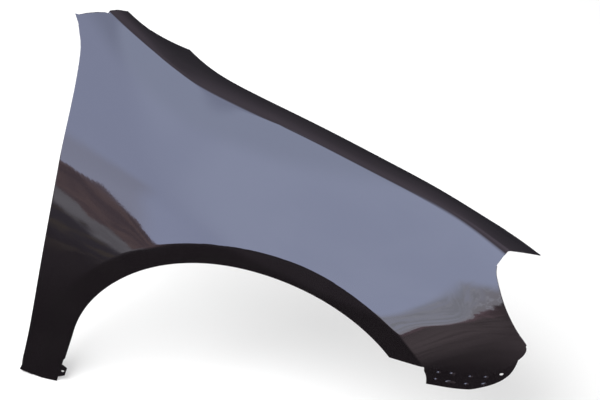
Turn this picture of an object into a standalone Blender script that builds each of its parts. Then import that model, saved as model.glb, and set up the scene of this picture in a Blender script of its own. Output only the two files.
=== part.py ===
"""Right-hand front wing of a small car: one steel pressing, 0.8 mm thick, painted black.

Axes while it is drawn: origin on the wheel's axis, X forward, Y toward the middle of the
car, Z up. The finished panel is then moved so that the middle bolt pad of its bonnet
rail lies at the world origin.
"""
import bpy
import bmesh
import numpy as np
from math import radians
from mathutils import Matrix, Vector

# Sheet and its bends, metres
SHEET = 0.0008
BEND_R = 0.0022
JOGGLE_R = 0.0020
CREASE_R = 0.0060
BEND_CUTS = 3

# Wheel arch, about the wheel's axis
ARCH_R = 0.344
ARCH_REAR_Z = 0.027
ARCH_FRONT_Z = 0.2165
ARCH_FRONT_SPAN_DEG = 11.0
BAND = 0.049
BAND_TUCK = 0.0060
FLARE = 0.016
FLARE_REAR = 0.004
FLARE_REACH = 0.130
FLARE_REACH_REAR = 0.300
FLARE_SPREAD_DEG = (95.0, 140.0)
FLARE_FADE_DEG = (140.0, 190.0)
RIDGE_R = 0.0040

# Side section: belt line, shoulder and the tuck below the belt
BELT_REAR_X, BELT_REAR_Z = -0.420, 0.440
BELT_FRONT_X, BELT_FRONT_Z = 0.300, 0.310
BELT_Y = 0.004
SHOULDER_Y = 0.148
SHOULDER_CURVE = 1.9
SILL_TUCK = 0.022
NOSE_TUCK = 0.010
NOSE_TUCK_DEPTH = 0.110

# Plan sweep of the nose
NOSE_START_X = -0.050
NOSE_LENGTH = 0.510
NOSE_SWEEP = 0.090
NOSE_SHOULDER_SWEEP = 0.026

# Outlines of the outer skin, side view; bends included
# Leg and lower door edge: distance behind the wheel arch, height
LEG_FOOT = (0.0160, -0.1165)
DOOR_LOWER = ((0.0968, -0.1095), (0.0888, -0.018), (0.0821, 0.122), (0.0788, 0.255))
# Upper door edge: distance behind the rear end of the crease, height
DOOR_UPPER = ((0.0093, 0.430), (0.0093, 0.520), (0.0126, 0.580), (0.0195, 0.6285),
              (0.0280, 0.657), (0.0520, 0.6935))
# Crease: x, height
CREASE = ((-0.4105, 0.7000), (-0.3595, 0.6703), (-0.3168, 0.6472), (-0.2322, 0.6087),
          (-0.142, 0.5866), (-0.002, 0.5640), (0.154, 0.5303), (0.3207, 0.4819),
          (0.4205, 0.4350))
# Headlamp edge: x, height
HEADLAMP_EDGE = ((0.4113, 0.4280), (0.4115, 0.4165), (0.4208, 0.3994), (0.4453, 0.3652),
                 (0.4793, 0.3226), (0.5061, 0.2876), (0.5153, 0.2735), (0.5149, 0.2570))
LOWER_CORNER = (0.5049, 0.2372)
# Bumper edge: share of the way from the wheel arch to the lower corner, height
BUMPER_EDGE = ((0.1435, 0.2116), (0.2925, 0.2087), (0.4297, 0.2027), (0.5539, 0.1950),
               (0.7168, 0.1885), (0.8342, 0.1925), (0.9205, 0.2105))

# Top edge in plan, (x, y): beside the cowl, then beside the bonnet; its step above the crease
COWL_EDGE = ((-0.3815, 0.185), (-0.340, 0.187), (-0.307, 0.1975), (-0.261, 0.2200))
BONNET_EDGE = ((-0.261, 0.2200), (-0.222, 0.2105), (-0.125, 0.2010), (0.000, 0.1967),
               (0.130, 0.1978), (0.255, 0.2020), (0.350, 0.2122), (0.430, 0.2310), (0.486, 0.2385))
BONNET_STEP = 0.005
BONNET_CROWN = 0.9
HORN_TIP = (0.4845, 0.2320)

# Bonnet rail: wall down from the bonnet edge, then a flange with flat bolt pads
RAIL_DEPTH = 0.026
RAIL_WIDTH = 0.024
RAIL_FROM_X, RAIL_TO_X = -0.360, 0.400
RAIL_BOLTS = (-0.318, -0.105, 0.110, 0.330)
RAIL_ORIGIN_BOLT = 2
PAD_LENGTH = 0.046
PAD_MOUNT_OFFSET = 0.014
BOLT_HOLE = 0.0090

# Return flanges
ARCH_LIP = 0.014
DOOR_RETURN = 0.012
DOOR_TAB = 0.034
DOOR_TAB_LENGTH = 0.044
DOOR_TABS_Z = (0.150, 0.570)
SILL_RETURN = 0.022
LAMP_RETURN = 0.010
LAMP_TAB = 0.026
LAMP_TAB_AT = 0.115
LAMP_UNDERCUT = 28.0
LAMP_TAB_LENGTH = 0.030
PILLAR_RETURN = 0.009
BUMPER_JOGGLE = 0.005
BUMPER_JOGGLE_TURN = 75.0
BUMPER_FLANGE_REAR = 0.0440
BUMPER_FLANGE_FRONT = 0.0550
BUMPER_FRONT_TAPER = 0.080
BUMPER_REAR_TAPER = 0.026
BUMPER_SLANT = 0.60
BUMPER_SLANT_LENGTH = 0.060
TAB_RAMP = 0.009
CORNER_RELIEF = 0.014
LAMP_RETURN_START = 0.018
LAMP_RETURN_END = 0.045
HORN_SET = 0.007

# Foot tab on the leg of the arch, and where the arch's lip starts above it
FOOT_TAB = 0.012
FOOT_TAB_START = 0.002
FOOT_TAB_FROM_Z, FOOT_TAB_TO_Z = -0.102, -0.066
FOOT_RAMP = 0.007
LIP_FROM_Z = -0.048

# Screw holes
FOOT_HOLE = 0.0060
SILL_HOLE = 0.0080
LAMP_HOLE = 0.0070
LINER_HOLE = 0.0055
LINER_HOLES_DEG = (160.0, 132.0, 104.0, 76.0, 52.0)
BUMPER_HOLE = 0.0080
BUMPER_HOLE_FROM_TIP = 0.047
HOLE_SIDES = 16
PUNCH_LENGTH = 0.006

# Mesh spacing
PITCH_DOOR = 0.042
PITCH_LONG = 0.034
PITCH_LAMP = 0.020
PITCH_PILLAR = 0.016
PITCH_BAND = 0.018
PITCH_STRIP = 0.024
PITCH_ROUND = 0.0045
PITCH_HORN = 0.014

PAINT = (0.028, 0.027, 0.029, 1.0)


# Curves
def natural_curve(knots, values):
    """Smooth curve through the points, straight beyond its two ends."""
    k = np.asarray(knots, float)
    v = np.asarray(values, float)
    n = len(k)
    h = np.diff(k)
    slope = np.diff(v) / h
    system = np.eye(n)
    right = np.zeros(n)
    for i in range(1, n - 1):
        system[i, i - 1:i + 2] = h[i - 1], 2.0 * (h[i - 1] + h[i]), h[i]
        right[i] = 6.0 * (slope[i] - slope[i - 1])
    bend = np.linalg.solve(system, right)

    def at(q):
        q = np.asarray(q, float)
        inside = np.clip(q, k[0], k[-1])
        i = np.clip(np.searchsorted(k, inside, side="right") - 1, 0, n - 2)
        a = k[i + 1] - inside
        b = inside - k[i]
        value = ((bend[i] * a ** 3 + bend[i + 1] * b ** 3) / (6.0 * h[i])
                 + (v[i] / h[i] - bend[i] * h[i] / 6.0) * a
                 + (v[i + 1] / h[i] - bend[i + 1] * h[i] / 6.0) * b)
        end = np.where(q < k[0], slope[0] - bend[1] * h[0] / 6.0,
                       slope[-1] + bend[-2] * h[-1] / 6.0)
        return value + end * (q - inside)

    return at


def drawn_curve(points):
    """Curve in the plane through the points, and its length; read by distance along it."""
    p = np.asarray(points, float)
    run = np.concatenate(([0.0], np.cumsum(np.linalg.norm(np.diff(p, axis=0), axis=1))))
    first = natural_curve(run, p[:, 0])
    second = natural_curve(run, p[:, 1])
    return (lambda s: np.stack([first(s), second(s)], axis=-1)), run[-1]


def steps(marks, pitch):
    """Stations through all the marks, evenly spaced between them, no further than pitch."""
    marks = sorted(marks)
    out = [marks[0]]
    for a, b in zip(marks, marks[1:]):
        if b - a < 1e-6:
            continue
        number = count(b - a, pitch)
        out += [a + (b - a) * i / number for i in range(1, number + 1)]
    return np.array(out)


def ease(t):
    t = np.clip(t, 0.0, 1.0)
    return t * t * (3.0 - 2.0 * t)


def between(q, ends):
    """Smooth share from 0 at the first end to 1 at the second."""
    return ease((q - ends[0]) / (ends[1] - ends[0]))


def count(length, pitch):
    """Number of equal steps along a length, none longer than the pitch."""
    return max(1, int(np.ceil(length / pitch - 1e-6)))


crease_height = natural_curve([p[0] for p in CREASE], [p[1] for p in CREASE])
cowl_y = natural_curve([p[0] for p in COWL_EDGE], [p[1] for p in COWL_EDGE])
lid_y = natural_curve([p[0] for p in BONNET_EDGE], [p[1] for p in BONNET_EDGE])
door_x = natural_curve([p[1] for p in DOOR_LOWER + DOOR_UPPER],
                       [-ARCH_R - p[0] for p in DOOR_LOWER]
                       + [CREASE[0][0] - p[0] for p in DOOR_UPPER])


def bonnet_y(x):
    """Top edge in plan: along the cowl, then a corner, then along the bonnet."""
    return np.where(np.asarray(x) < BONNET_EDGE[0][0], cowl_y(x), lid_y(x))


# Skin surface
def nose(x, power):
    return (np.clip(x - NOSE_START_X, 0.0, None) / NOSE_LENGTH) ** power


def crease_y(x):
    return SHOULDER_Y + NOSE_SHOULDER_SWEEP * nose(x, 2.0)


def skin_y(x, z):
    """Depth of the outer skin behind the widest line of the body side."""
    x = np.asarray(x, float)
    z = np.asarray(z, float)
    along = ease((x - BELT_REAR_X) / (BELT_FRONT_X - BELT_REAR_X))
    belt_z = BELT_REAR_Z + (BELT_FRONT_Z - BELT_REAR_Z) * along
    side = BELT_Y + NOSE_SWEEP * nose(x, 2.2)
    above = np.clip(z - belt_z, 0.0, None) / (crease_height(x) - belt_z)
    shoulder = (crease_y(x) - side) * above ** SHOULDER_CURVE
    below = np.clip(belt_z - z, 0.0, None)
    sill = SILL_TUCK * (below / (BELT_REAR_Z - DOOR_LOWER[0][1])) ** 2
    chin = NOSE_TUCK * (below / NOSE_TUCK_DEPTH) ** 2
    tuck = sill * (1.0 - along) + chin * along

    # Flare: falls away above the ridge line round the arch, and turns under below it
    past = np.hypot(x, np.clip(z, 0.0, None)) - (ARCH_R + BAND)
    turn = np.degrees(np.arctan2(z, x)) % 360.0
    swell = FLARE + (FLARE_REAR - FLARE) * between(turn, FLARE_FADE_DEG)
    spread = FLARE_REACH + (FLARE_REACH_REAR - FLARE_REACH) * between(turn, FLARE_SPREAD_DEG)
    under = BAND_TUCK / BAND
    fall = 2.0 * swell / spread
    reach = np.clip(past / spread, 0.0, 1.0)
    outer = swell * (1.0 - reach) ** 2
    rounding = 0.25 * (under + fall) * np.clip(RIDGE_R - np.abs(past), 0.0, None) ** 2 / RIDGE_R
    inner = swell + under * np.clip(past, None, 0.0)
    bulge = np.where(past > 0.0, outer, inner) - rounding
    return side + shoulder + tuck - bulge


def lifted(points):
    """Side-view points put onto the skin."""
    p = np.asarray(points, float)
    return np.stack([p[..., 0], skin_y(p[..., 0], p[..., 1]), p[..., 1]], axis=-1)


# Outlines the panel is built between
def arch_lines():
    """Edge of the wheel arch and its ridge line, both read by distance up from the foot."""
    foot = np.array([-ARCH_R - LEG_FOOT[0], LEG_FOOT[1]])
    start = np.arctan2(ARCH_REAR_Z, -np.sqrt(ARCH_R ** 2 - ARCH_REAR_Z ** 2))
    radial = np.array([np.cos(start), np.sin(start)])
    leg = np.linalg.norm(ARCH_R * radial - foot)

    along_sill = np.array([-ARCH_R - DOOR_LOWER[0][0], DOOR_LOWER[0][1]]) - foot
    along_sill /= np.linalg.norm(along_sill)

    def at(s, grow=0.0):
        s = np.asarray(s, float)[..., None]
        turn = start - np.clip(s - leg, 0.0, None) / ARCH_R
        arc = (ARCH_R + grow) * np.concatenate([np.cos(turn), np.sin(turn)], axis=-1)
        low = foot + grow * along_sill
        top = (ARCH_R + grow) * radial
        return np.where(s < leg, low + (top - low) * s / leg, arc)

    def reach(degrees):
        return leg + (start - radians(degrees)) * ARCH_R

    return at, reach


def tab_marks(centre, length, ramp):
    return [centre - length / 2.0, centre - length / 2.0 + ramp,
            centre + length / 2.0 - ramp, centre + length / 2.0]


def tab_width(stations, centre, length, ramp, small, large):
    """Flange width that swells from small to large over a tab."""
    off = length / 2.0 - np.abs(stations - centre)
    return small + (large - small) * np.clip(off / ramp, 0.0, 1.0)


class Layout:
    """Matched stations along the arch and along the outer outline, edge by edge."""

    def __init__(self):
        arch, reach = arch_lines()
        front = np.degrees(np.arcsin(ARCH_FRONT_Z / ARCH_R))
        front_end = arch(reach(front))
        span = LOWER_CORNER[0] - front_end[0]
        low = [(front_end[0] + share * span, z) for share, z in BUMPER_EDGE]
        bumper, bumper_length = drawn_curve([tuple(front_end)] + low + [LOWER_CORNER])
        lamp, self.lamp_length = drawn_curve(CREASE[-1:] + HEADLAMP_EDGE + (LOWER_CORNER,))
        samples = np.linspace(0.0, bumper_length, 400)
        radius = np.linalg.norm(bumper(samples), axis=1)
        ridge_at = samples[np.argmax(radius > ARCH_R + BAND)]
        ridge_end = bumper(ridge_at)
        ridge_reach = reach(np.degrees(np.arctan2(ridge_end[1], ridge_end[0])))
        splits = [0.0, reach(112.0), reach(108.0), reach(front + ARCH_FRONT_SPAN_DEG),
                  reach(front)]

        foot_z, top_z = DOOR_LOWER[0][1], DOOR_UPPER[-1][1]
        per_leg = (top_z - foot_z) / splits[1]
        marks = [foot_z, foot_z + CORNER_RELIEF, top_z - CORNER_RELIEF, top_z]
        for z in DOOR_TABS_Z:
            marks += tab_marks(z, DOOR_TAB_LENGTH, TAB_RAMP)
        for z in (FOOT_TAB_FROM_Z, FOOT_TAB_FROM_Z + FOOT_RAMP, FOOT_TAB_TO_Z - FOOT_RAMP,
                  FOOT_TAB_TO_Z, LIP_FROM_Z):
            marks.append(foot_z + (z - LEG_FOOT[1]) * per_leg)
        self.door = steps(marks, PITCH_DOOR)
        door_line = np.stack([door_x(self.door), self.door], axis=-1)
        door_reach = (self.door - foot_z) / per_leg

        corner, summit = door_line[-1], np.array(CREASE[0])
        pillar = count(np.linalg.norm(summit - corner), PITCH_PILLAR)
        share = np.arange(1, pillar + 1) / pillar
        pillar_line = corner + (summit - corner) * share[:, None]
        pillar_reach = splits[1] + (splits[2] - splits[1]) * share

        kink = CREASE[0][0] + (BONNET_EDGE[0][0] - COWL_EDGE[0][0]) / top_stretch()
        marks = [CREASE[0][0], RAIL_FROM_X, kink, RAIL_TO_X, CREASE[-1][0]]
        for x in RAIL_BOLTS:
            marks += tab_marks(x, PAD_LENGTH, 0.0)
        self.crease = steps(marks, PITCH_LONG)
        crease_line = np.stack([self.crease, crease_height(self.crease)], axis=-1)[1:]
        share = (self.crease[1:] - CREASE[0][0]) / (CREASE[-1][0] - CREASE[0][0])
        crease_reach = splits[2] + (splits[3] - splits[2]) * share

        marks = [LAMP_RETURN_START, self.lamp_length - LAMP_RETURN_END, self.lamp_length]
        marks += tab_marks(LAMP_TAB_AT, LAMP_TAB_LENGTH, TAB_RAMP)
        self.lamp = steps(marks, PITCH_LAMP)
        share = self.lamp / self.lamp_length
        lamp_reach = splits[3] + (splits[4] - splits[3]) * share
        lamp_ridge = splits[3] + (ridge_reach - splits[3]) * share

        self.reach = np.concatenate([door_reach, pillar_reach, crease_reach, lamp_reach])
        ridge = np.concatenate([door_reach, pillar_reach, crease_reach, lamp_ridge])
        self.edge = arch(self.reach)
        self.ridge = arch(ridge, BAND)
        self.rim = np.concatenate([door_line, pillar_line, crease_line, lamp(self.lamp)])
        self.at_corner = len(self.door) - 1
        self.at_summit = self.at_corner + pillar
        self.at_lamp = self.at_summit + len(self.crease) - 1
        self.count = len(self.rim)
        self.degrees = 180.0 - np.degrees(self.reach - reach(180.0)) / ARCH_R
        self.bumper = lambda w: bumper(ridge_at + (bumper_length - ridge_at) * w)

    def mark(self, leg_z):
        """Station nearest a height on the leg of the arch."""
        return self.nearest(self.reach, leg_z - LEG_FOOT[1])

    @staticmethod
    def nearest(stations, at):
        return int(np.argmin(np.abs(stations - at)))

    def skin(self, band_pitch, skin_pitch):
        """Points of the outer skin: one row of points per station, arch edge to outer edge."""
        length = np.linalg.norm(self.rim - self.ridge, axis=1)
        band_rows = count(BAND, band_pitch)
        skin_rows = count(length.max(), skin_pitch)
        low = np.linspace(BEND_R / BAND, 1.0 - RIDGE_R / BAND, band_rows + 1)
        low = np.concatenate([low, [1.0]])
        setback = np.full(self.count, BEND_R)
        setback[self.at_summit:self.at_lamp + 1] = CREASE_R
        ends = np.minimum(self.door - self.door[0], self.door[-1] - self.door)
        setback[:self.at_corner + 1] *= ease(ends / CORNER_RELIEF)
        setback[self.at_lamp + 1:] *= ease((self.lamp_length - self.lamp) / LAMP_RETURN_END)
        end = 1.0 - setback / length
        start = RIDGE_R / length
        up = start[:, None] + (end - start)[:, None] * np.linspace(0.0, 1.0, skin_rows + 1)
        below = self.edge[:, None] + (self.ridge - self.edge)[:, None] * low[:, None]
        above = self.ridge[:, None] + (self.rim - self.ridge)[:, None] * up[..., None]

        # The bumper edge is curved: the stations behind it follow it less and less
        pull = self.bumper(up[-1]) - above[-1]
        weight = np.zeros(self.count)
        weight[self.at_lamp:] = np.linspace(0.0, 1.0, self.count - self.at_lamp) ** 2
        above += weight[:, None, None] * pull
        return lifted(np.concatenate([below, above], axis=1)), band_rows + 1


def strip_point(x, y):
    """Point of the flat strip between the crease and the bonnet, from its place in plan."""
    inner = crease_y(x)
    share = (y - inner) / (bonnet_y(x) - inner)
    rise = share * (1.0 + BONNET_CROWN * (1.0 - share))
    return np.stack([x, y, crease_height(x) + BONNET_STEP * rise], axis=-1)


def top_stretch():
    """Length of the top edge over length of the crease."""
    return (CREASE[-1][0] + HORN_SET - COWL_EDGE[0][0]) / (CREASE[-1][0] - CREASE[0][0])


def strip_lines(layout, horn_pitch):
    """Crease, start of the flat strip and bonnet edge, station by station."""
    x = layout.crease
    top_x = COWL_EDGE[0][0] + (x - x[0]) * top_stretch()
    low = np.stack([x, crease_y(x)], axis=-1)
    top = np.stack([top_x, bonnet_y(top_x)], axis=-1)
    width = np.linalg.norm(top - low, axis=1)[:, None]
    start = low + (top - low) * CREASE_R / width
    crease = np.stack([x, crease_y(x), crease_height(x)], axis=-1)

    horn = count(HORN_TIP[0] - x[-1], horn_pitch)
    part = np.arange(1, horn + 1)[:, None] / horn
    horn_low = start[-1] + (np.array(HORN_TIP) - start[-1]) * part
    horn_top_x = top_x[-1] + (BONNET_EDGE[-1][0] - top_x[-1]) * part[:, 0]
    horn_top = np.stack([horn_top_x, bonnet_y(horn_top_x)], axis=-1)
    return crease, np.concatenate([start, horn_low]), np.concatenate([top, horn_top])


# Sheet-metal sections
def bent(*moves):
    """Offsets of a bent edge: each move is (turn in degrees, bend radius, flat, cuts)."""
    heading = 0.0
    at = np.zeros(2)
    out = []
    for turn, radius, flat, cuts in moves:
        step = radians(turn) / BEND_CUTS
        for _ in range(BEND_CUTS if turn else 0):
            middle = heading + step / 2.0
            chord = 2.0 * radius * np.sin(abs(step) / 2.0)
            at = at + chord * np.array([np.cos(middle), np.sin(middle)])
            heading += step
            out.append(at)
        for _ in range(cuts):
            at = at + flat / cuts * np.array([np.cos(heading), np.sin(heading)])
            out.append(at)
    return np.array(out)


def edge_frame(rim, neighbour):
    """Directions away from the sheet and inward; seen from outside, the sheet is on the right."""
    run = np.gradient(rim, axis=0)
    run /= np.linalg.norm(run, axis=1)[:, None]
    away = rim - neighbour
    away -= run * np.sum(away * run, axis=1)[:, None]
    away /= np.linalg.norm(away, axis=1)[:, None]
    return away, np.cross(away, run)


def turn_to_press(rim, neighbour):
    """Bend angles that point a return flange along the press direction, +Y."""
    away, inward = edge_frame(rim, neighbour)
    return np.degrees(np.arctan2(inward[:, 1], away[:, 1]))


def fold(rim, neighbour, sections):
    """Rows of a flange swept along an edge."""
    away, inward = edge_frame(rim, neighbour)
    sections = np.asarray(sections, float)
    if sections.ndim == 2:
        sections = np.repeat(sections[None], len(rim), axis=0)
    rows = rim[:, None] + sections[..., :1] * away[:, None] + sections[..., 1:] * inward[:, None]
    return np.concatenate([rim[:, None], rows], axis=1)


def flatten(rows, first, last, kept):
    """Lays the flange between two stations flat, from row number kept outward."""
    patch = rows[first:last + 1, kept:]
    flat = patch.reshape(-1, 3)
    centre = flat.mean(axis=0)
    normal = np.linalg.svd(flat - centre)[2][-1]
    patch -= ((patch - centre) @ normal)[..., None] * normal


def spot(rows, stations, at, across):
    """Point, normal and run of a flange's last flat, at a station and a share of its width."""
    order = np.argsort(stations)

    def line(k, q):
        return np.array([np.interp(q, stations[order], rows[order, k, c]) for c in range(3)])

    def place(q):
        return line(-2, q) + (line(-1, q) - line(-2, q)) * across

    step = 0.01 * (stations.max() - stations.min())
    run = place(at + step) - place(at - step)
    normal = np.cross(run, line(-1, at) - line(-2, at))
    return place(at), normal / np.linalg.norm(normal), run / np.linalg.norm(run)


class Pressing:
    """The whole sheet: outer skin, strip beside the bonnet and every return flange."""

    def __init__(self):
        self.layout = Layout()
        self.patches = []
        self.holes = []
        self.skin, self.ridge_row = self.layout.skin(PITCH_BAND, PITCH_LONG)
        self.patches.append(self.skin)
        self.draw_strip()
        self.fold_arch()
        self.fold_rear()
        self.fold_rail()
        self.fold_front()

    def draw_strip(self):
        crease, low, top = strip_lines(self.layout, PITCH_HORN)
        start = strip_point(low[:, 0], low[:, 1])
        below = self.skin[self.layout.at_summit:self.layout.at_lamp + 1, -1]
        s = np.linspace(0.0, 1.0, count(2.0 * CREASE_R, PITCH_ROUND) + 1)[:, None]
        self.rounding = np.stack([(1.0 - s) ** 2 * a + 2.0 * s * (1.0 - s) * c + s ** 2 * b
                                  for a, c, b in zip(below, crease, start)])
        width = np.linalg.norm(top - low, axis=1)
        bend = np.minimum(BEND_R / width, 0.3)
        first = np.where(np.arange(len(low)) < len(crease), 0.0, bend)
        across = first[:, None] + (1.0 - bend - first)[:, None] * np.linspace(
            0.0, 1.0, count(width.max(), PITCH_STRIP) + 1)
        across = across[..., None]
        plan = low[:, None] * (1.0 - across) + top[:, None] * across
        self.strip = strip_point(plan[..., 0], plan[..., 1])
        self.patches += [self.rounding, self.strip]

    def fold(self, rim, neighbour, sections):
        self.patches.append(fold(rim, neighbour, sections))
        return self.patches[-1]

    def level(self, rows, stations, at, length):
        """Lays a flange flat over a length, so that a bolt seats on it."""
        ends = [int(np.argmin(np.abs(stations - q))) for q in (at - length / 2.0,
                                                              at + length / 2.0)]
        flatten(rows, min(ends), max(ends), -2)

    def drill(self, rows, stations, at, across, size):
        point, normal, run = spot(rows, stations, at, across)
        self.holes.append((point, normal, size))
        return point, normal, run

    def fold_arch(self):
        lay = self.layout
        first = lay.mark(LIP_FROM_Z)
        rim = slice(lay.count - 1, first - 1, -1)
        lip = self.fold(self.skin[rim, 0], self.skin[rim, 1],
                        bent((90.0, BEND_R, ARCH_LIP, 1)))
        for degrees in LINER_HOLES_DEG:
            self.drill(lip, lay.degrees[rim], degrees, 0.5, LINER_HOLE)

        first, last = lay.mark(FOOT_TAB_FROM_Z), lay.mark(FOOT_TAB_TO_Z)
        rim = slice(last, first - 1, -1)
        middle = (lay.reach[first] + lay.reach[last]) / 2.0
        width = tab_width(lay.reach[rim], middle, lay.reach[last] - lay.reach[first],
                          FOOT_RAMP, FOOT_TAB_START, FOOT_TAB)
        tab = self.fold(self.skin[rim, 0], self.skin[rim, 1],
                        [bent((0.0, 0.0, w, 1)) for w in width])
        self.drill(tab, lay.reach[rim], middle, 0.45, FOOT_HOLE)

    def fold_rear(self):
        lay = self.layout
        rim = slice(self.ridge_row + 1, -1)
        sill = self.fold(self.skin[0, rim], self.skin[1, rim],
                         bent((90.0, BEND_R, SILL_RETURN, 1)))
        flatten(sill, 0, len(sill) - 1, -2)
        across = np.linalg.norm(sill[:, 0] - sill[0, 0], axis=1)
        self.drill(sill, across, across[-1] / 2.0, 0.55, SILL_HOLE)

        z = lay.door
        rim = slice(lay.nearest(z, z[0] + CORNER_RELIEF),
                    lay.nearest(z, z[-1] - CORNER_RELIEF) + 1)
        width = np.full(len(z[rim]), DOOR_RETURN)
        for at in DOOR_TABS_Z:
            width = np.maximum(width, tab_width(z[rim], at, DOOR_TAB_LENGTH, TAB_RAMP,
                                                DOOR_RETURN, DOOR_TAB))
        turn = turn_to_press(self.skin[rim, -1], self.skin[rim, -2])
        door = self.fold(self.skin[rim, -1], self.skin[rim, -2],
                         [bent((t, BEND_R, w, 1)) for t, w in zip(turn, width)])
        for at in DOOR_TABS_Z:
            self.level(door, z[rim], at, DOOR_TAB_LENGTH - 2.0 * TAB_RAMP)
            self.drill(door, z[rim], at, 0.62, BOLT_HOLE)

        # The pillar's return stops short of the crease
        section = bent((90.0, BEND_R, PILLAR_RETURN, 1))
        pillar = slice(lay.at_corner + 1, lay.at_summit)
        self.fold(self.skin[pillar, -1], self.skin[pillar, -2], section)
        self.fold(self.strip[0, :-1], self.strip[1, :-1], section)

    def fold_rail(self):
        x = self.layout.crease
        first = self.layout.nearest(x, RAIL_FROM_X)
        last = self.layout.nearest(x, RAIL_TO_X)
        rim = slice(first, last + 1)
        section = bent((90.0, BEND_R, RAIL_DEPTH, 1), (-90.0, JOGGLE_R, RAIL_WIDTH, 1))
        rail = self.fold(self.strip[rim, -1], self.strip[rim, -2], section)
        for number, at in enumerate(RAIL_BOLTS):
            self.level(rail, x[rim], at, PAD_LENGTH)
            point, normal, run = self.drill(rail, x[rim], at, 0.5, BOLT_HOLE)
            if number == RAIL_ORIGIN_BOLT:
                self.seat = point + run * PAD_MOUNT_OFFSET

    def fold_front(self):
        lay = self.layout
        run = lay.lamp
        end = lay.nearest(run, lay.lamp_length - LAMP_RETURN_END)
        rim = slice(lay.at_lamp + 1, lay.at_lamp + 2 + end)
        run = run[:end + 1]
        width = tab_width(run, LAMP_TAB_AT, LAMP_TAB_LENGTH, TAB_RAMP, LAMP_RETURN, LAMP_TAB)
        turn = turn_to_press(self.skin[rim, -1], self.skin[rim, -2])
        lamp = self.fold(self.skin[rim, -1], self.skin[rim, -2],
                         [bent((t + LAMP_UNDERCUT, BEND_R, w, 1)) for t, w in zip(turn, width)])
        self.level(lamp, run, LAMP_TAB_AT, LAMP_TAB_LENGTH - 2.0 * TAB_RAMP)
        self.drill(lamp, run, LAMP_TAB_AT, 0.62, LAMP_HOLE)

        rim = slice(-2, self.ridge_row, -1)
        edge = self.skin[-1, rim]
        from_tip = np.linalg.norm(edge - self.skin[-1, -1], axis=1)
        from_ridge = np.linalg.norm(edge - self.skin[-1, self.ridge_row], axis=1)
        full = BUMPER_FLANGE_REAR + (BUMPER_FLANGE_FRONT - BUMPER_FLANGE_REAR) * (
            from_ridge / (from_ridge + from_tip))
        width = full * np.minimum(np.clip(from_tip / BUMPER_FRONT_TAPER, 0.0, 1.0) ** 0.9,
                                  np.clip(0.1 + from_ridge / BUMPER_REAR_TAPER, 0.0, 1.0))
        flange = self.fold(edge, self.skin[-2, rim],
                           [bent((BUMPER_JOGGLE_TURN, JOGGLE_R, BUMPER_JOGGLE, 1),
                                 (-BUMPER_JOGGLE_TURN, JOGGLE_R, w, 1)) for w in width])
        run = np.gradient(edge, axis=0)
        run /= np.linalg.norm(run, axis=1)[:, None]
        slant = BUMPER_SLANT * np.clip(1.0 - from_ridge / BUMPER_SLANT_LENGTH, 0.0, None) ** 2
        lean = slant[:, None] * np.linalg.norm(flange - flange[:, :1], axis=2)
        flange -= lean[..., None] * run[:, None]
        self.drill(flange, from_tip, BUMPER_HOLE_FROM_TIP, 0.5, BUMPER_HOLE)


# Blender objects
def paint():
    material = bpy.data.materials.new("black_paint")
    material.use_nodes = True
    shader = material.node_tree.nodes["Principled BSDF"]
    shader.inputs["Base Color"].default_value = PAINT
    shader.inputs["Metallic"].default_value = 0.0
    shader.inputs["Roughness"].default_value = 0.22
    material.diffuse_color = PAINT
    return material


def sheet_mesh(patches, name):
    """One open sheet from the patches, joined along their common edges, facing outward."""
    sheet = bmesh.new()
    for points in patches:
        grid = [[sheet.verts.new(p) for p in row] for row in points]
        for i in range(len(grid) - 1):
            for j in range(len(grid[0]) - 1):
                sheet.faces.new((grid[i][j], grid[i + 1][j],
                                 grid[i + 1][j + 1], grid[i][j + 1]))
    bmesh.ops.remove_doubles(sheet, verts=sheet.verts, dist=0.00002)
    bmesh.ops.recalc_face_normals(sheet, faces=sheet.faces)
    if max(sheet.faces, key=lambda f: f.calc_area()).normal.y > 0.0:
        bmesh.ops.reverse_faces(sheet, faces=sheet.faces)
    data = bpy.data.meshes.new(name)
    sheet.to_mesh(data)
    sheet.free()
    return data


def hole_cutter(holes, name):
    """All the punches in one mesh: a short round bar through each hole."""
    bars = bmesh.new()
    for point, normal, size in holes:
        turn = Vector((0.0, 0.0, 1.0)).rotation_difference(Vector(normal)).to_matrix().to_4x4()
        bmesh.ops.create_cone(bars, cap_ends=True, segments=HOLE_SIDES, radius1=size / 2.0,
                              radius2=size / 2.0, depth=PUNCH_LENGTH,
                              matrix=Matrix.Translation(Vector(point)) @ turn)
    data = bpy.data.meshes.new(name)
    bars.to_mesh(data)
    bars.free()
    cutter = bpy.data.objects.new(name, data)
    bpy.context.collection.objects.link(cutter)
    cutter.display_type = "WIRE"
    cutter.hide_render = True
    cutter.hide_set(True)
    return cutter


def build():
    for item in list(bpy.data.objects):
        bpy.data.objects.remove(item)
    pressing = Pressing()
    panel = bpy.data.objects.new("fender_panel", sheet_mesh(pressing.patches, "fender_panel"))
    bpy.context.collection.objects.link(panel)
    panel.data.materials.append(paint())

    thickness = panel.modifiers.new("sheet", "SOLIDIFY")
    thickness.thickness = SHEET
    thickness.offset = -1.0
    thickness.use_even_offset = True
    thickness.use_rim = True

    cutter = hole_cutter(pressing.holes, "punches")
    punch = panel.modifiers.new("holes", "BOOLEAN")
    punch.operation = "DIFFERENCE"
    punch.solver = "EXACT"
    punch.object = cutter

    # The bolt pad's seat becomes the world origin
    shift = -Vector(pressing.seat)
    panel.location = shift
    cutter.location = shift
    bpy.context.view_layer.update()
    return pressing


build()
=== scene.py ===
"""Right-hand front fender, gloss black, standing on a pale floor in soft studio light.

The fender is drawn again here on the same lines as its solid, with a finer mesh, rounder
bends and the small pressed details. Axes while it is drawn: origin on the wheel's axis,
X forward, Y toward the middle of the car, Z up.
"""

import bpy
import bmesh
import numpy as np
from math import cos, pi, radians, sin
from mathutils import Matrix, Vector


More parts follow.
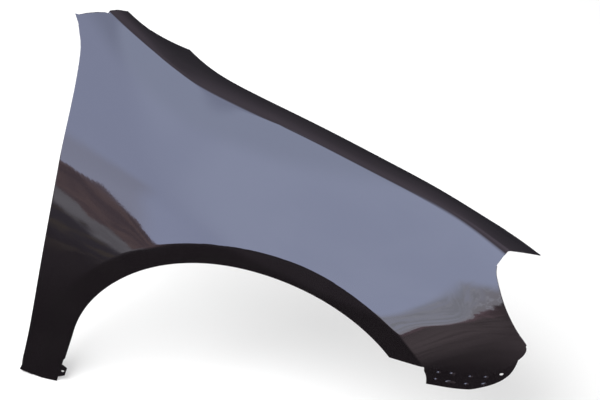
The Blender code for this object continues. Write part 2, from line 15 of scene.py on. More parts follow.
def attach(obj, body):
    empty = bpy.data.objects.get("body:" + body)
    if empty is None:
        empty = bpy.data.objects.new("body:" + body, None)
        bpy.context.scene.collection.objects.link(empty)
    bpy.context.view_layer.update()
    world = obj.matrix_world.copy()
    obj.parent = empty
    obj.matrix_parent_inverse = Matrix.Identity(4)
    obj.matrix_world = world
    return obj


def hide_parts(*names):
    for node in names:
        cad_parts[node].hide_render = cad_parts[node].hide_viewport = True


# Sheet and its bends, metres
SHEET = 0.0008
BEND_R = 0.0022
JOGGLE_R = 0.0020
CREASE_R = 0.0060
BEND_CUTS = 8
JOIN_WITHIN = 0.00002
SHARP_DEG = 32.0

# Wheel arch, about the wheel's axis
ARCH_R = 0.344
ARCH_REAR_Z = 0.027
ARCH_FRONT_Z = 0.2165
ARCH_FRONT_SPAN_DEG = 11.0
BAND = 0.049
BAND_TUCK = 0.0060
FLARE = 0.016
FLARE_REAR = 0.004
FLARE_REACH = 0.130
FLARE_REACH_REAR = 0.300
FLARE_SPREAD_DEG = (95.0, 140.0)
FLARE_FADE_DEG = (140.0, 190.0)
RIDGE_R = 0.0040
# Places on the arch that face the upper door corner and the rear end of the crease
ARCH_CORNER_DEG = 112.0
ARCH_SUMMIT_DEG = 108.0

# Side section: belt line, shoulder and the tuck below the belt
BELT_REAR_X, BELT_REAR_Z = -0.420, 0.440
BELT_FRONT_X, BELT_FRONT_Z = 0.300, 0.310
BELT_Y = 0.004
SHOULDER_Y = 0.148
SHOULDER_CURVE = 1.9
SILL_TUCK = 0.022
NOSE_TUCK = 0.010
NOSE_TUCK_DEPTH = 0.110

# Plan sweep of the nose
NOSE_START_X = -0.050
NOSE_LENGTH = 0.510
NOSE_SWEEP = 0.090
NOSE_CURVE = 2.2
NOSE_SHOULDER_SWEEP = 0.026
NOSE_SHOULDER_CURVE = 2.0

# Outlines of the outer skin, side view; bends included
# Leg and lower door edge: distance behind the wheel arch, height
LEG_FOOT = (0.0160, -0.1165)
DOOR_LOWER = ((0.0968, -0.1095), (0.0888, -0.018), (0.0821, 0.122), (0.0788, 0.255))
# Upper door edge: distance behind the rear end of the crease, height
DOOR_UPPER = ((0.0093, 0.430), (0.0093, 0.520), (0.0126, 0.580), (0.0195, 0.6285),
              (0.0280, 0.657), (0.0520, 0.6935))
# Crease: x, height
CREASE = ((-0.4105, 0.7000), (-0.3595, 0.6703), (-0.3168, 0.6472), (-0.2322, 0.6087),
          (-0.142, 0.5866), (-0.002, 0.5640), (0.154, 0.5303), (0.3207, 0.4819),
          (0.4205, 0.4350))
# Headlamp edge: x, height
HEADLAMP_EDGE = ((0.4113, 0.4280), (0.4115, 0.4165), (0.4208, 0.3994), (0.4453, 0.3652),
                 (0.4793, 0.3226), (0.5061, 0.2876), (0.5153, 0.2735), (0.5149, 0.2570))
LOWER_CORNER = (0.5049, 0.2372)
# Bumper edge: share of the way from the wheel arch to the lower corner, height
BUMPER_EDGE = ((0.1435, 0.2116), (0.2925, 0.2087), (0.4297, 0.2027), (0.5539, 0.1950),
               (0.7168, 0.1885), (0.8342, 0.1925), (0.9205, 0.2105))

# Top edge in plan, (x, y): beside the cowl, then beside the bonnet; its step above the crease
COWL_EDGE = ((-0.3815, 0.185), (-0.340, 0.187), (-0.307, 0.1975), (-0.261, 0.2200))
BONNET_EDGE = ((-0.261, 0.2200), (-0.222, 0.2105), (-0.125, 0.2010), (0.000, 0.1967),
               (0.130, 0.1978), (0.255, 0.2020), (0.350, 0.2122), (0.430, 0.2310),
               (0.486, 0.2385))
BONNET_STEP = 0.005
BONNET_CROWN = 0.9
HORN_TIP = (0.4845, 0.2320)
HORN_BEND_SHARE = 0.3

# Bonnet rail: wall down from the bonnet edge, then a flange with flat bolt pads
RAIL_DEPTH = 0.026
RAIL_WIDTH = 0.024
RAIL_FROM_X, RAIL_TO_X = -0.360, 0.400
RAIL_BOLTS = (-0.318, -0.105, 0.110, 0.330)
RAIL_ORIGIN_BOLT = 2
PAD_LENGTH = 0.046
PAD_MOUNT_OFFSET = 0.014
BOLT_HOLE = 0.0090

# Return flanges
ARCH_LIP = 0.014
DOOR_RETURN = 0.012
DOOR_TAB = 0.034
DOOR_TAB_LENGTH = 0.044
DOOR_TABS_Z = (0.150, 0.570)
SILL_RETURN = 0.022
LAMP_RETURN = 0.010
LAMP_TAB = 0.026
LAMP_TAB_AT = 0.115
LAMP_UNDERCUT = 28.0
LAMP_TAB_LENGTH = 0.030
PILLAR_RETURN = 0.009
BUMPER_JOGGLE = 0.005
BUMPER_JOGGLE_TURN = 75.0
BUMPER_FLANGE_REAR = 0.0440
BUMPER_FLANGE_FRONT = 0.0550
BUMPER_FRONT_TAPER = 0.080
BUMPER_FRONT_CURVE = 0.9
BUMPER_REAR_TAPER = 0.026
BUMPER_REAR_START = 0.1
BUMPER_SLANT = 0.60
BUMPER_SLANT_LENGTH = 0.060
TAB_RAMP = 0.009
CORNER_RELIEF = 0.014
LAMP_RETURN_START = 0.018
LAMP_RETURN_END = 0.045
HORN_SET = 0.007

# Foot tab on the leg of the arch, and where the arch's lip starts above it
FOOT_TAB = 0.012
FOOT_TAB_START = 0.002
FOOT_TAB_FROM_Z, FOOT_TAB_TO_Z = -0.102, -0.066
FOOT_RAMP = 0.007
LIP_FROM_Z = -0.048

# Screw holes, and where they sit as a share of the flange's width
FOOT_HOLE = 0.0060
SILL_HOLE = 0.0080
LAMP_HOLE = 0.0070
LINER_HOLE = 0.0055
LINER_HOLES_DEG = (160.0, 132.0, 104.0, 76.0, 52.0)
BUMPER_HOLE = 0.0080
BUMPER_HOLE_FROM_TIP = 0.047
HOLE_ACROSS = 0.5
TAB_HOLE_ACROSS = 0.62
SILL_HOLE_ACROSS = 0.55
FOOT_HOLE_ACROSS = 0.45
HOLE_SIDES = 40
PUNCH_LENGTH = 0.006

# Mesh spacing
PITCH_DOOR = 0.012
PITCH_LONG = 0.010
PITCH_LAMP = 0.008
PITCH_PILLAR = 0.006
PITCH_BAND = 0.008
PITCH_STRIP = 0.010
PITCH_ROUND = 0.0015
PITCH_HORN = 0.005
RIDGE_ROWS = 3
EDGE_SAMPLES = 400
SPOT_STEP = 0.01
ROUND_OFF = 1e-6

# Length over which the bulge of a bend dies away at its end, and what is left of it there
RUN_OUT = 0.014
RUN_OUT_LEFT = 0.12

# Low pips pressed up out of the bumper flange: from the tip, share of the width, half sizes
PIP_HEIGHT = 0.0022
PIP_SUNK = 0.0002
PIP_SIDES = 20
PIP_RINGS = 5
PIPS = ((0.1448, 0.25, 0.0046, 0.0046), (0.1190, 0.18, 0.0066, 0.0052),
        (0.0882, 0.22, 0.0050, 0.0048), (0.0669, 0.31, 0.0052, 0.0048),
        (0.1409, 0.65, 0.0040, 0.0040), (0.1126, 0.68, 0.0125, 0.0050),
        (0.0882, 0.68, 0.0056, 0.0042), (0.0685, 0.78, 0.0062, 0.0042))

# Camera and studio
CAMERA_AT = Vector((0.1697, -2.8654, 1.9840))
CAMERA_TURN_TILT_ROLL = (5.783, 36.357, 14.349)
CAMERA_LENS, CAMERA_SENSOR = 110.34, 36.0
CAMERA_FAR = 60.0
FLOOR_Z = -0.6271
FLOOR_R = 14.0
DISC_SIDES = 64
DOME_X, DOME_Y, DOME_R = -0.10, 0.10, 1.30
DOME_ROWS, DOME_COLUMNS = 24, 48
SKY_TURN = 115.0
REAR_LARGER = 1.02
CARD_LIFT = 0.0004
KEY_WATTS = 160.0
KEY_SIZE = (2.6, 2.0)
KEY_AT, KEY_AIM = Vector((-1.4, -2.2, 2.6)), Vector((0.0, 0.0, -0.3))
WORLD_GREY = (0.8, 0.8, 0.8)

# Textures: scale, detail, roughness
ENAMEL_CELLS = (14.0, 3.0, 0.5)
SMEAR_CELLS = (1.0, 4.0, 0.55)
PEEL_CELLS = (260.0, 2.0, 0.5)
WAVE_CELLS = (7.0, 1.0, 0.4)
FLOOR_CELLS = (3.0, 2.0, 0.5)
UNEVEN_CELLS = (12.0, 2.0, 0.5)
LINE_CELLS = (3.0, 4.0, 0.6)
CLOUD_CELLS = (2.2, 3.0, 0.5)
DRIFT_CELLS = (1.0, 3.0, 0.5)
SMEAR_STRETCH = (5.0, 9.0, 22.0)
DRIFT_STRETCH = (3.0, 9.0, 3.0)

# Paint and floor
ENAMEL = ((0.35, (0.0044, 0.0040, 0.0044)), (0.70, (0.0058, 0.0053, 0.0056)))
ENAMEL_ROUGHNESS, SMEAR_ROUGHNESS = 0.02, 0.06
COAT_ROUGHNESS, COAT_IOR = 0.012, 1.5
PEEL_DEPTH, WAVE_DEPTH = 0.000012, 0.00035
FLOOR_WHITE = ((0.3, (0.93, 0.93, 0.93)), (0.7, (0.95, 0.95, 0.95)))
FLOOR_ROUGHNESS = 0.9

# Colours of the surroundings in the gloss; above 1 is brighter than white
SKY_LEFT, SKY_RIGHT = (2.30, 2.52, 3.68), (2.70, 2.97, 4.20)
HIGH_LEFT, HIGH_RIGHT = (1.90, 2.09, 3.02), (2.42, 2.68, 3.76)
CLOUD = (2.35, 2.60, 3.80)
HAZE_PATCH = (2.03, 2.09, 2.80)
HAZE_DULL, HAZE_CLEAR = (1.80, 1.83, 2.15), (2.14, 2.20, 2.82)
HAZE_LOW, HAZE_THREAD = (1.72, 1.64, 1.86), (2.35, 2.35, 2.75)
RIGHT_EDGE, RIGHT_BROWN = (0.95, 0.62, 0.74), (0.52, 0.41, 0.45)
RIGHT_FAR, RIGHT_DARK = (0.32, 0.25, 0.28), (0.22, 0.17, 0.19)
LEFT_BROWN, LEFT_DARK = (0.74, 0.50, 0.52), (0.44, 0.31, 0.38)
LEFT_EDGE = (0.78, 0.60, 0.74)
PALE_STREAK, DULL_STREAK = (0.98, 0.93, 1.06), (0.52, 0.48, 0.56)
BELOW_STREAK, BELOW_LINES = (0.19, 0.16, 0.22), (0.30, 0.24, 0.22)
MIDDLE_DARK = (0.125, 0.095, 0.12)
CLOSE_BY = (0.05, 0.035, 0.045)
DULL_OVERHEAD = (0.50, 0.42, 0.53)
REAR_DULL = ((0.27, (0.46, 0.38, 0.48)), (0.33, (0.36, 0.30, 0.38)), (0.40, (0.26, 0.22, 0.28)),
             (0.48, (0.17, 0.15, 0.19)), (0.56, (0.11, 0.10, 0.13)))
DRIFT = 0.10

# How uneven the surroundings are: skyline, lines, patch of haze, upper edge of the haze
UNEVEN = 0.05
SWAY, SWAY_TURN = 6.0, (34.0, 20.0)
LINES_ALONG, LINES_ACROSS = 0.035, 8.0
PATCH_FOOT, PATCH_SLANT = 0.05, -22.0
PATCH_TOP, PATCH_STRENGTH = (0.34, 0.24), 0.75
FADE, FADE_LESS, FADE_TURN = 0.09, 0.06, (44.0, 49.0)

# Lines of the surroundings: (turn from straight ahead in degrees, height); ground below 0
TURN_LIMIT = 120.0
SKYLINE = ((-120, 0.12), (-45, 0.10), (-33, 0.06), (-30, 0.04), (-28.4, 0.004),
           (-26.6, 0.0), (-25.6, -0.014), (-25.1, -0.04), (-24.8, -0.078), (-23.6, -0.095),
           (-21, -0.15), (-18.5, -0.12), (-16.5, -0.03), (-12, 0.08), (-6, 0.24),
           (0, 0.30), (8, 0.33), (14, 0.30), (18, 0.21), (24, 0.07), (28, -0.10),
           (31, -0.23), (35, -0.195), (38, -0.125), (40, -0.075), (41, -0.06),
           (41.8, -0.03), (42.5, 0.05), (43.1, 0.14), (43.6, 0.20), (46.1, 0.265),
           (50.7, 0.335), (56.8, 0.40), (64, 0.43), (120, 0.43))
HAZE = ((-120, -0.40), (14, -0.40), (20, 0.0), (28, 0.12), (32, 0.15), (34.5, 0.19),
        (36.2, 0.26), (37.8, 0.31), (40.4, 0.37), (43.5, 0.415), (47, 0.445), (52, 0.455),
        (60, 0.462), (75, 0.472), (120, 0.472))
STREAK = ((-120, 0.10), (-42, -0.02), (-36, -0.07), (-34, -0.098), (-32.5, -0.128),
          (-31, -0.158), (-29.7, -0.180), (-28.2, -0.200), (-27, -0.225), (-26, -0.27),
          (-25, -0.36), (-24, -0.46), (-20, -0.49), (120, -0.49))
# How far back the bright sky reaches overhead, by turn
OVERHEAD = ((-120, -0.03), (-60, -0.08), (-40, -0.11), (-20, -0.13), (-8, -0.10),
            (0, -0.07), (8, -0.10), (28, -0.13), (39, -0.15), (48, -0.17),
            (56, -0.19), (66, -0.20), (74, -0.16), (80, -0.12), (86, -0.07),
            (94, -0.03), (104, 0.0), (120, 0.02))


# Small helpers
def length_of(vectors):
    return np.linalg.norm(vectors, axis=-1)


def unit(vectors):
    return vectors / length_of(vectors)[..., None]


def part_way(a, b, share):
    return a + (b - a) * share


def ease(t):
    t = np.clip(t, 0.0, 1.0)
    return t * t * (3.0 - 2.0 * t)


def between(q, ends):
    """Smooth share from 0 at the first end to 1 at the second."""
    return ease((q - ends[0]) / (ends[1] - ends[0]))


def count(length, pitch):
    """Number of equal steps along a length, none longer than the pitch."""
    return max(1, int(np.ceil(length / pitch - ROUND_OFF)))


def nearest(stations, at):
    return int(np.argmin(np.abs(stations - at)))


def steps(marks, pitch):
    """Stations through all the marks, evenly spaced between them, no further than pitch."""
    marks = sorted(marks)
    out = [marks[0]]
    for a, b in zip(marks, marks[1:]):
        if b - a < ROUND_OFF:
            continue
        number = count(b - a, pitch)
        out += [part_way(a, b, i / number) for i in range(1, number + 1)]
    return np.array(out)


# Curves
def natural_curve(knots, values):
    """Smooth curve through the points, straight beyond its two ends."""
    k = np.asarray(knots, float)
    v = np.asarray(values, float)
    n = len(k)
    h = np.diff(k)
    slope = np.diff(v) / h
    system = np.eye(n)
    right = np.zeros(n)
    for i in range(1, n - 1):
        system[i, i - 1:i + 2] = h[i - 1], 2.0 * (h[i - 1] + h[i]), h[i]
        right[i] = 6.0 * (slope[i] - slope[i - 1])
    bend = np.linalg.solve(system, right)

    def at(q):
        q = np.asarray(q, float)
        inside = np.clip(q, k[0], k[-1])
        i = np.clip(np.searchsorted(k, inside, side="right") - 1, 0, n - 2)
        a = k[i + 1] - inside
        b = inside - k[i]
        value = ((bend[i] * a ** 3 + bend[i + 1] * b ** 3) / (6.0 * h[i])
                 + (v[i] / h[i] - bend[i] * h[i] / 6.0) * a
                 + (v[i + 1] / h[i] - bend[i + 1] * h[i] / 6.0) * b)
        end = np.where(q < k[0], slope[0] - bend[1] * h[0] / 6.0,
                       slope[-1] + bend[-2] * h[-1] / 6.0)
        return value + end * (q - inside)

    return at


def drawn_curve(points):
    """Curve in the plane through the points, and its length; read by distance along it."""
    p = np.asarray(points, float)
    run = np.concatenate(([0.0], np.cumsum(length_of(np.diff(p, axis=0)))))
    first = natural_curve(run, p[:, 0])
    second = natural_curve(run, p[:, 1])
    return (lambda s: np.stack([first(s), second(s)], axis=-1)), run[-1]


crease_height = natural_curve(*zip(*CREASE))
cowl_y = natural_curve(*zip(*COWL_EDGE))
lid_y = natural_curve(*zip(*BONNET_EDGE))
door_x = natural_curve([p[1] for p in DOOR_LOWER + DOOR_UPPER],
                       [-ARCH_R - p[0] for p in DOOR_LOWER]
                       + [CREASE[0][0] - p[0] for p in DOOR_UPPER])


def bonnet_y(x):
    """Top edge in plan: along the cowl, then a corner, then along the bonnet."""
    return np.where(np.asarray(x) < BONNET_EDGE[0][0], cowl_y(x), lid_y(x))


# Skin surface
def nose(x, power):
    return (np.clip(x - NOSE_START_X, 0.0, None) / NOSE_LENGTH) ** power


def crease_y(x):
    return SHOULDER_Y + NOSE_SHOULDER_SWEEP * nose(x, NOSE_SHOULDER_CURVE)


def skin_y(x, z):
    """Depth of the outer skin behind the widest line of the body side."""
    x = np.asarray(x, float)
    z = np.asarray(z, float)
    along = ease((x - BELT_REAR_X) / (BELT_FRONT_X - BELT_REAR_X))
    belt_z = part_way(BELT_REAR_Z, BELT_FRONT_Z, along)
    side = BELT_Y + NOSE_SWEEP * nose(x, NOSE_CURVE)
    above = np.clip(z - belt_z, 0.0, None) / (crease_height(x) - belt_z)
    shoulder = (crease_y(x) - side) * above ** SHOULDER_CURVE
    below = np.clip(belt_z - z, 0.0, None)
    sill = SILL_TUCK * (below / (BELT_REAR_Z - DOOR_LOWER[0][1])) ** 2
    chin = NOSE_TUCK * (below / NOSE_TUCK_DEPTH) ** 2
    tuck = part_way(sill, chin, along)

    # Flare: falls away above the ridge line round the arch, and turns under below it
    past = np.hypot(x, np.clip(z, 0.0, None)) - (ARCH_R + BAND)
    turn = np.degrees(np.arctan2(z, x)) % 360.0
    swell = part_way(FLARE, FLARE_REAR, between(turn, FLARE_FADE_DEG))
    spread = part_way(FLARE_REACH, FLARE_REACH_REAR, between(turn, FLARE_SPREAD_DEG))
    under = BAND_TUCK / BAND
    fall = 2.0 * swell / spread
    reach = np.clip(past / spread, 0.0, 1.0)
    outer = swell * (1.0 - reach) ** 2
    rounding = 0.25 * (under + fall) * np.clip(RIDGE_R - np.abs(past), 0.0, None) ** 2 / RIDGE_R
    inner = swell + under * np.clip(past, None, 0.0)
    bulge = np.where(past > 0.0, outer, inner) - rounding
    return side + shoulder + tuck - bulge


def lifted(points):
    """Side-view points put onto the skin."""
    p = np.asarray(points, float)
    return np.stack([p[..., 0], skin_y(p[..., 0], p[..., 1]), p[..., 1]], axis=-1)


# Outlines the panel is built between
def arch_lines():
    """Edge of the wheel arch and its ridge line, both read by distance up from the foot."""
    foot = np.array([-ARCH_R - LEG_FOOT[0], LEG_FOOT[1]])
    start = np.arctan2(ARCH_REAR_Z, -np.sqrt(ARCH_R ** 2 - ARCH_REAR_Z ** 2))
    radial = np.array([np.cos(start), np.sin(start)])
    leg = length_of(ARCH_R * radial - foot)
    along_sill = unit(np.array([-ARCH_R - DOOR_LOWER[0][0], DOOR_LOWER[0][1]]) - foot)

    def at(s, grow=0.0):
        s = np.asarray(s, float)[..., None]
        turn = start - np.clip(s - leg, 0.0, None) / ARCH_R
        arc = (ARCH_R + grow) * np.concatenate([np.cos(turn), np.sin(turn)], axis=-1)
        low = foot + grow * along_sill
        top = (ARCH_R + grow) * radial
        return np.where(s < leg, part_way(low, top, s / leg), arc)

    def reach(degrees):
        return leg + (start - radians(degrees)) * ARCH_R

    return at, reach


def tab_marks(centre, length, ramp):
    return [centre - length / 2.0, centre - length / 2.0 + ramp,
            centre + length / 2.0 - ramp, centre + length / 2.0]


def tab_width(stations, centre, length, ramp, small, large):
    """Flange width that swells from small to large over a tab."""
    off = length / 2.0 - np.abs(stations - centre)
    return part_way(small, large, np.clip(off / ramp, 0.0, 1.0))


class Layout:
    """Matched stations along the arch and along the outer outline, edge by edge."""

    def __init__(self):
        arch, reach = arch_lines()
        front = np.degrees(np.arcsin(ARCH_FRONT_Z / ARCH_R))
        front_end = arch(reach(front))
        span = LOWER_CORNER[0] - front_end[0]
        low = [(front_end[0] + span * share, z) for share, z in BUMPER_EDGE]
        bumper, bumper_length = drawn_curve([tuple(front_end)] + low + [LOWER_CORNER])
        lamp, self.lamp_length = drawn_curve(CREASE[-1:] + HEADLAMP_EDGE + (LOWER_CORNER,))
        samples = np.linspace(0.0, bumper_length, EDGE_SAMPLES)
        radius = length_of(bumper(samples))
        ridge_at = samples[np.argmax(radius > ARCH_R + BAND)]
        ridge_end = bumper(ridge_at)
        ridge_reach = reach(np.degrees(np.arctan2(ridge_end[1], ridge_end[0])))
        splits = [0.0, reach(ARCH_CORNER_DEG), reach(ARCH_SUMMIT_DEG),
                  reach(front + ARCH_FRONT_SPAN_DEG), reach(front)]

        foot_z, top_z = DOOR_LOWER[0][1], DOOR_UPPER[-1][1]
        per_leg = (top_z - foot_z) / splits[1]
        marks = [foot_z, foot_z + CORNER_RELIEF, top_z - CORNER_RELIEF, top_z]
        for z in DOOR_TABS_Z:
            marks += tab_marks(z, DOOR_TAB_LENGTH, TAB_RAMP)
        for z in (FOOT_TAB_FROM_Z, FOOT_TAB_FROM_Z + FOOT_RAMP, FOOT_TAB_TO_Z - FOOT_RAMP,
                  FOOT_TAB_TO_Z, LIP_FROM_Z):
            marks.append(foot_z + (z - LEG_FOOT[1]) * per_leg)
        self.door = steps(marks, PITCH_DOOR)
        door_line = np.stack([door_x(self.door), self.door], axis=-1)
        door_reach = (self.door - foot_z) / per_leg

        corner, summit = door_line[-1], np.array(CREASE[0])
        pillar = count(length_of(summit - corner), PITCH_PILLAR)
        share = np.arange(1, pillar + 1) / pillar
        pillar_line = part_way(corner, summit, share[:, None])
        pillar_reach = part_way(splits[1], splits[2], share)

        kink = CREASE[0][0] + (BONNET_EDGE[0][0] - COWL_EDGE[0][0]) / top_stretch()
        marks = [CREASE[0][0], RAIL_FROM_X, kink, RAIL_TO_X, CREASE[-1][0]]
        for x in RAIL_BOLTS:
            marks += tab_marks(x, PAD_LENGTH, 0.0)
        self.crease = steps(marks, PITCH_LONG)
        crease_line = np.stack([self.crease, crease_height(self.crease)], axis=-1)[1:]
        share = (self.crease[1:] - CREASE[0][0]) / (CREASE[-1][0] - CREASE[0][0])
        crease_reach = part_way(splits[2], splits[3], share)

        marks = [LAMP_RETURN_START, self.lamp_length - LAMP_RETURN_END, self.lamp_length]
        marks += tab_marks(LAMP_TAB_AT, LAMP_TAB_LENGTH, TAB_RAMP)
        self.lamp = steps(marks, PITCH_LAMP)
        share = self.lamp / self.lamp_length
        lamp_reach = part_way(splits[3], splits[4], share)
        lamp_ridge = part_way(splits[3], ridge_reach, share)

        self.reach = np.concatenate([door_reach, pillar_reach, crease_reach, lamp_reach])
        ridge = np.concatenate([door_reach, pillar_reach, crease_reach, lamp_ridge])
        self.edge = arch(self.reach)
        self.ridge = arch(ridge, BAND)
        self.rim = np.concatenate([door_line, pillar_line, crease_line, lamp(self.lamp)])
        self.at_corner = len(self.door) - 1
        self.at_summit = self.at_corner + pillar
        self.at_lamp = self.at_summit + len(self.crease) - 1
        self.count = len(self.rim)
        self.degrees = 180.0 - np.degrees(self.reach - reach(180.0)) / ARCH_R
        self.bumper = lambda w: bumper(part_way(ridge_at, bumper_length, w))

    def mark(self, leg_z):
        """Station nearest a height on the leg of the arch."""
        return nearest(self.reach, leg_z - LEG_FOOT[1])

    def skin(self):
        """Points of the outer skin: one row of points per station, arch edge to outer edge."""
        length = length_of(self.rim - self.ridge)
        band_rows = count(BAND, PITCH_BAND)
        skin_rows = count(length.max(), PITCH_LONG)
        low = np.linspace(BEND_R / BAND, 1.0 - RIDGE_R / BAND, band_rows + 1)
        round_rows = np.arange(1, RIDGE_ROWS + 1) / RIDGE_ROWS
        low = np.concatenate([low, 1.0 - RIDGE_R / BAND * (1.0 - round_rows)])
        setback = np.full(self.count, BEND_R)
        setback[self.at_summit:self.at_lamp + 1] = CREASE_R
        ends = np.minimum(self.door - self.door[0], self.door[-1] - self.door)
        setback[:self.at_corner + 1] *= ease(ends / CORNER_RELIEF)
        setback[self.at_lamp + 1:] *= ease((self.lamp_length - self.lamp) / LAMP_RETURN_END)
        end = 1.0 - setback / length
        start = RIDGE_R / length
        up = part_way(start[:, None], end[:, None], np.linspace(0.0, 1.0, skin_rows + 1))
        up = np.concatenate([start[:, None] * round_rows[:-1], up], axis=1)
        below = part_way(self.edge[:, None], self.ridge[:, None], low[:, None])
        above = part_way(self.ridge[:, None], self.rim[:, None], up[..., None])

        # The bumper edge is curved: the stations behind it follow it less and less
        pull = self.bumper(up[-1]) - above[-1]
        weight = np.zeros(self.count)
        weight[self.at_lamp:] = np.linspace(0.0, 1.0, self.count - self.at_lamp) ** 2
        above += weight[:, None, None] * pull
        return lifted(np.concatenate([below, above], axis=1)), band_rows + RIDGE_ROWS


def strip_point(x, y):
    """Point of the flat strip between the crease and the bonnet, from its place in plan."""
    inner = crease_y(x)
    share = (y - inner) / (bonnet_y(x) - inner)
    rise = share * (1.0 + BONNET_CROWN * (1.0 - share))
    return np.stack([x, y, crease_height(x) + BONNET_STEP * rise], axis=-1)


def top_stretch():
    """Length of the top edge over length of the crease."""
    return (CREASE[-1][0] + HORN_SET - COWL_EDGE[0][0]) / (CREASE[-1][0] - CREASE[0][0])


def strip_lines(layout):
    """Crease, start of the flat strip and bonnet edge, station by station."""
    x = layout.crease
    top_x = COWL_EDGE[0][0] + (x - x[0]) * top_stretch()
    low = np.stack([x, crease_y(x)], axis=-1)
    top = np.stack([top_x, bonnet_y(top_x)], axis=-1)
    width = length_of(top - low)[:, None]
    start = part_way(low, top, CREASE_R / width)
    crease = np.stack([x, crease_y(x), crease_height(x)], axis=-1)

    horn = count(HORN_TIP[0] - x[-1], PITCH_HORN)
    part = np.arange(1, horn + 1)[:, None] / horn
    horn_low = part_way(start[-1], np.array(HORN_TIP), part)
    horn_top_x = part_way(top_x[-1], BONNET_EDGE[-1][0], part[:, 0])
    horn_top = np.stack([horn_top_x, bonnet_y(horn_top_x)], axis=-1)
    return crease, np.concatenate([start, horn_low]), np.concatenate([top, horn_top])


# Sheet-metal sections
def bent(*moves):
    """Offsets of a bent edge: each move is (turn in degrees, bend radius, flat, cuts)."""
    heading = 0.0
    at = np.zeros(2)
    out = []
    for turn, radius, flat, cuts in moves:
        step = radians(turn) / BEND_CUTS
        for _ in range(BEND_CUTS if turn else 0):
            middle = heading + step / 2.0
            chord = 2.0 * radius * np.sin(abs(step) / 2.0)
            at = at + chord * np.array([np.cos(middle), np.sin(middle)])
            heading += step
            out.append(at)
        for _ in range(cuts):
            at = at + flat / cuts * np.array([np.cos(heading), np.sin(heading)])
            out.append(at)
    return np.array(out)


def edge_frame(rim, neighbour):
    """Directions away from the sheet and inward; seen from outside, the sheet is on the right."""
    run = unit(np.gradient(rim, axis=0))
    away = rim - neighbour
    away = unit(away - run * np.sum(away * run, axis=1)[:, None])
    return away, np.cross(away, run)


def turn_to_press(rim, neighbour):
    """Bend angles that point a return flange along the press direction, +Y."""
    away, inward = edge_frame(rim, neighbour)
    return np.degrees(np.arctan2(inward[:, 1], away[:, 1]))


def per_station(sections, number):
    """One section for each station, also where one is given for all of them."""
    sections = np.asarray(sections, float)
    return np.repeat(sections[None], number, axis=0) if sections.ndim == 2 else sections


def run_out(rim, sections):
    """Lets a bend's bulge die away toward both ends of its edge."""
    gone = np.concatenate([[0.0], np.cumsum(length_of(np.diff(rim, axis=0)))])
    share = np.minimum(gone, gone[-1] - gone) / RUN_OUT
    sections = per_station(sections, len(rim))
    sections[..., 0] *= np.clip(share, RUN_OUT_LEFT, 1.0)[:, None]
    return sections


def fold(rim, neighbour, sections):
    """Rows of a flange swept along an edge."""
    away, inward = edge_frame(rim, neighbour)
    sections = per_station(sections, len(rim))
    rows = rim[:, None] + sections[..., :1] * away[:, None] + sections[..., 1:] * inward[:, None]
    return np.concatenate([rim[:, None], rows], axis=1)


def flatten(rows, first, last, kept):
    """Lays the flange between two stations flat, from row number kept outward."""
    patch = rows[first:last + 1, kept:]
    flat = patch.reshape(-1, 3)
    centre = flat.mean(axis=0)
    normal = np.linalg.svd(flat - centre)[2][-1]
    patch -= ((patch - centre) @ normal)[..., None] * normal


def spot(rows, stations, at, across):
    """Point, normal and run of a flange's last flat, at a station and a share of its width."""
    order = np.argsort(stations)

    def line(k, q):
        return np.array([np.interp(q, stations[order], rows[order, k, c]) for c in range(3)])

    def place(q):
        return part_way(line(-2, q), line(-1, q), across)

    step = SPOT_STEP * (stations.max() - stations.min())
    run = place(at + step) - place(at - step)
    normal = np.cross(run, line(-1, at) - line(-2, at))
    return place(at), unit(normal), unit(run)


